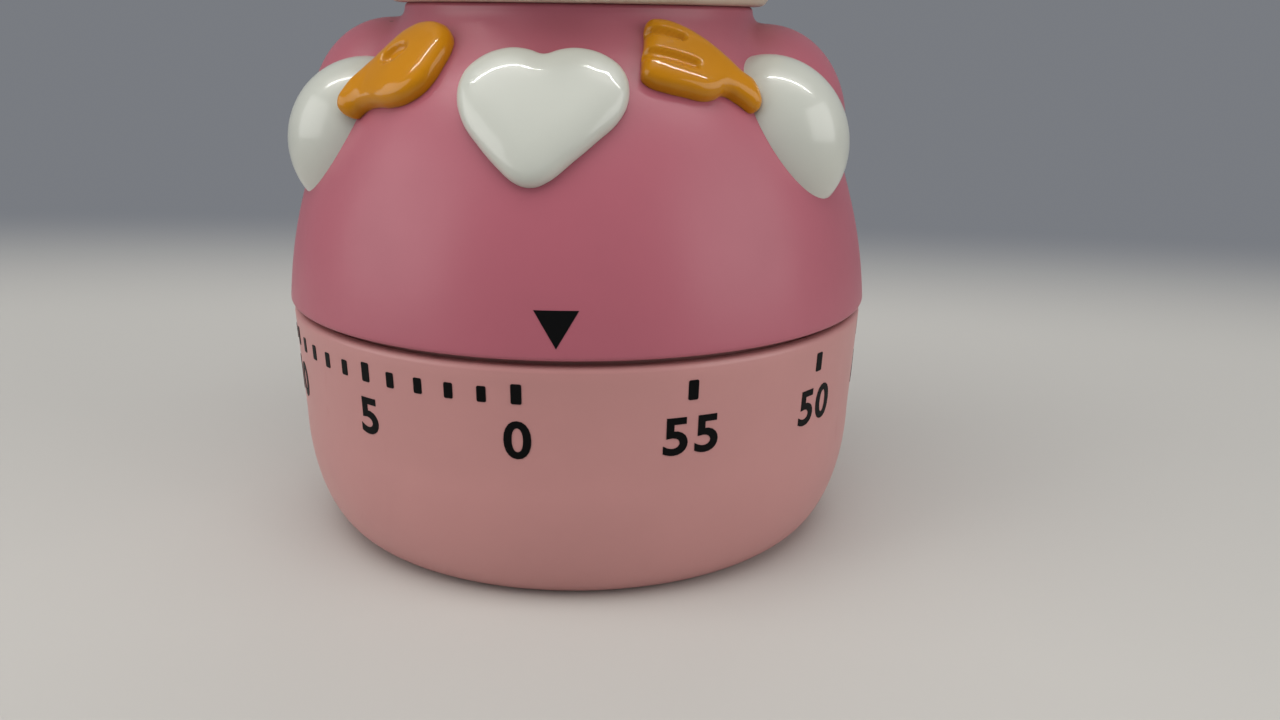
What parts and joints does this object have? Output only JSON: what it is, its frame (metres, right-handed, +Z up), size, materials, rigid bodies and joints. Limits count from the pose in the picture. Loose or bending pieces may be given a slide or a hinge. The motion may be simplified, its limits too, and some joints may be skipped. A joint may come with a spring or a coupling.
{
  "type": "kitchen timer",
  "caption": "Wind-up kitchen timer: a round numbered base with a domed figure that turns on it to set the minutes, a clockwork movement and a bell inside.",
  "frame": {"origin": "on the table, under the timer's turning axis", "axes": "+Z up along the turning axis, -Y is the figure's front, +X the viewer's right when facing it"},
  "size_m": [0.0638, 0.0638, 0.0932],
  "materials": {
    "base_plastic": "light salmon pink moulded plastic, satin",
    "body_plastic": "rose pink moulded plastic, satin",
    "white_gloss": "white gloss paint over plastic",
    "gold_paint": "ochre gloss paint over plastic",
    "cream_plastic": "cream moulded plastic, satin",
    "black_gloss": "black gloss beads",
    "white_plastic": "natural white moulded plastic",
    "steel": "zinc-plated pressed steel",
    "bell_steel": "bright spun steel",
    "spring_steel": "dark spring steel",
    "brass": "stamped brass"
  },
  "bodies": {
    "base": {"base_shell": "base_plastic", "case_screw_1": "steel", "case_screw_2": "steel", "case_screw_3": "steel", "bottom_plate": "steel", "top_plate": "steel", "plate_pillar_1": "steel", "plate_pillar_2": "steel", "plate_pillar_3": "steel", "plate_screw_1": "steel", "plate_screw_2": "steel", "plate_screw_3": "steel", "bell_post": "steel", "bell_screw_1": "steel", "bell_screw_2": "steel", "bell_screw_3": "steel", "bell": "bell_steel", "bell_nut": "brass", "mainspring": "spring_steel", "spring_post": "steel", "hairspring": "spring_steel", "hammer_pin": "steel", "hammer_spring": "spring_steel"},
    "figure": {"body_shell": "body_plastic", "drive_plate": "white_plastic", "drive_screw_1": "steel", "drive_screw_2": "steel", "drive_screw_3": "steel", "winding_arbor": "steel", "main_wheel": "brass", "ratchet_wheel": "steel", "click": "steel", "trip_cam": "brass", "heart": "white_gloss", "left_hand": "white_gloss", "right_hand": "white_gloss", "spoon": "gold_paint", "fork": "gold_paint", "head_shell": "cream_plastic", "muzzle": "cream_plastic", "nose": "black_gloss", "left_eye": "black_gloss", "right_eye": "black_gloss"},
    "second_wheel_set": {"second_arbor": "steel", "second_wheel": "brass"},
    "third_wheel_set": {"third_arbor": "steel", "third_wheel": "brass"},
    "escape_wheel_set": {"escape_arbor": "steel", "escape_wheel": "brass"},
    "lever": {"pallet_lever": "brass"},
    "balance": {"balance_wheel": "brass", "balance_staff": "steel"},
    "hammer": {"bell_hammer": "steel"}
  },
  "joints": [
    {"name": "figure_turn", "type": "hinge", "parent": "base", "child": "figure", "pos_m": [0, 0, 0.026], "axis": [0, 0, -1], "range_deg": [0, 355]},
    {"name": "second_spin", "type": "hinge", "parent": "base", "child": "second_wheel_set", "pos_m": [0.01073, 0.009, 0.012], "axis": [0, 0, -1], "continuous": true},
    {"name": "third_spin", "type": "hinge", "parent": "base", "child": "third_wheel_set", "pos_m": [0.00429, 0.01676, 0.012], "axis": [0, 0, -1], "continuous": true},
    {"name": "escape_spin", "type": "hinge", "parent": "base", "child": "escape_wheel_set", "pos_m": [-0.00386, 0.01707, 0.0105], "axis": [0, 0, -1], "continuous": true},
    {"name": "balance_swing", "type": "hinge", "parent": "base", "child": "balance", "pos_m": [-0.0134, 0.00779, 0.014], "axis": [0, 0, 1], "range_deg": [-24, 24], "stiffness_Nm_per_rad": 0.00001},
    {"name": "lever_rock", "type": "hinge", "parent": "base", "child": "lever", "pos_m": [-0.00991, 0.01442, 0.0095], "axis": [0, 0, 1], "range_deg": [-6.5, 6.5]},
    {"name": "hammer_strike", "type": "hinge", "parent": "base", "child": "hammer", "pos_m": [-0.00633, -0.01738, 0.0162], "axis": [0, 0, 1], "range_deg": [-12, 0], "stiffness_Nm_per_rad": 0.0001}
  ],
  "couplings": [
    {"joint": "second_spin", "follows": "figure_turn", "ratio": -6},
    {"joint": "third_spin", "follows": "figure_turn", "ratio": 30},
    {"joint": "escape_spin", "follows": "figure_turn", "ratio": -150},
    {"joint": "lever_rock", "follows": "balance_swing", "ratio": -0.25}
  ]
}
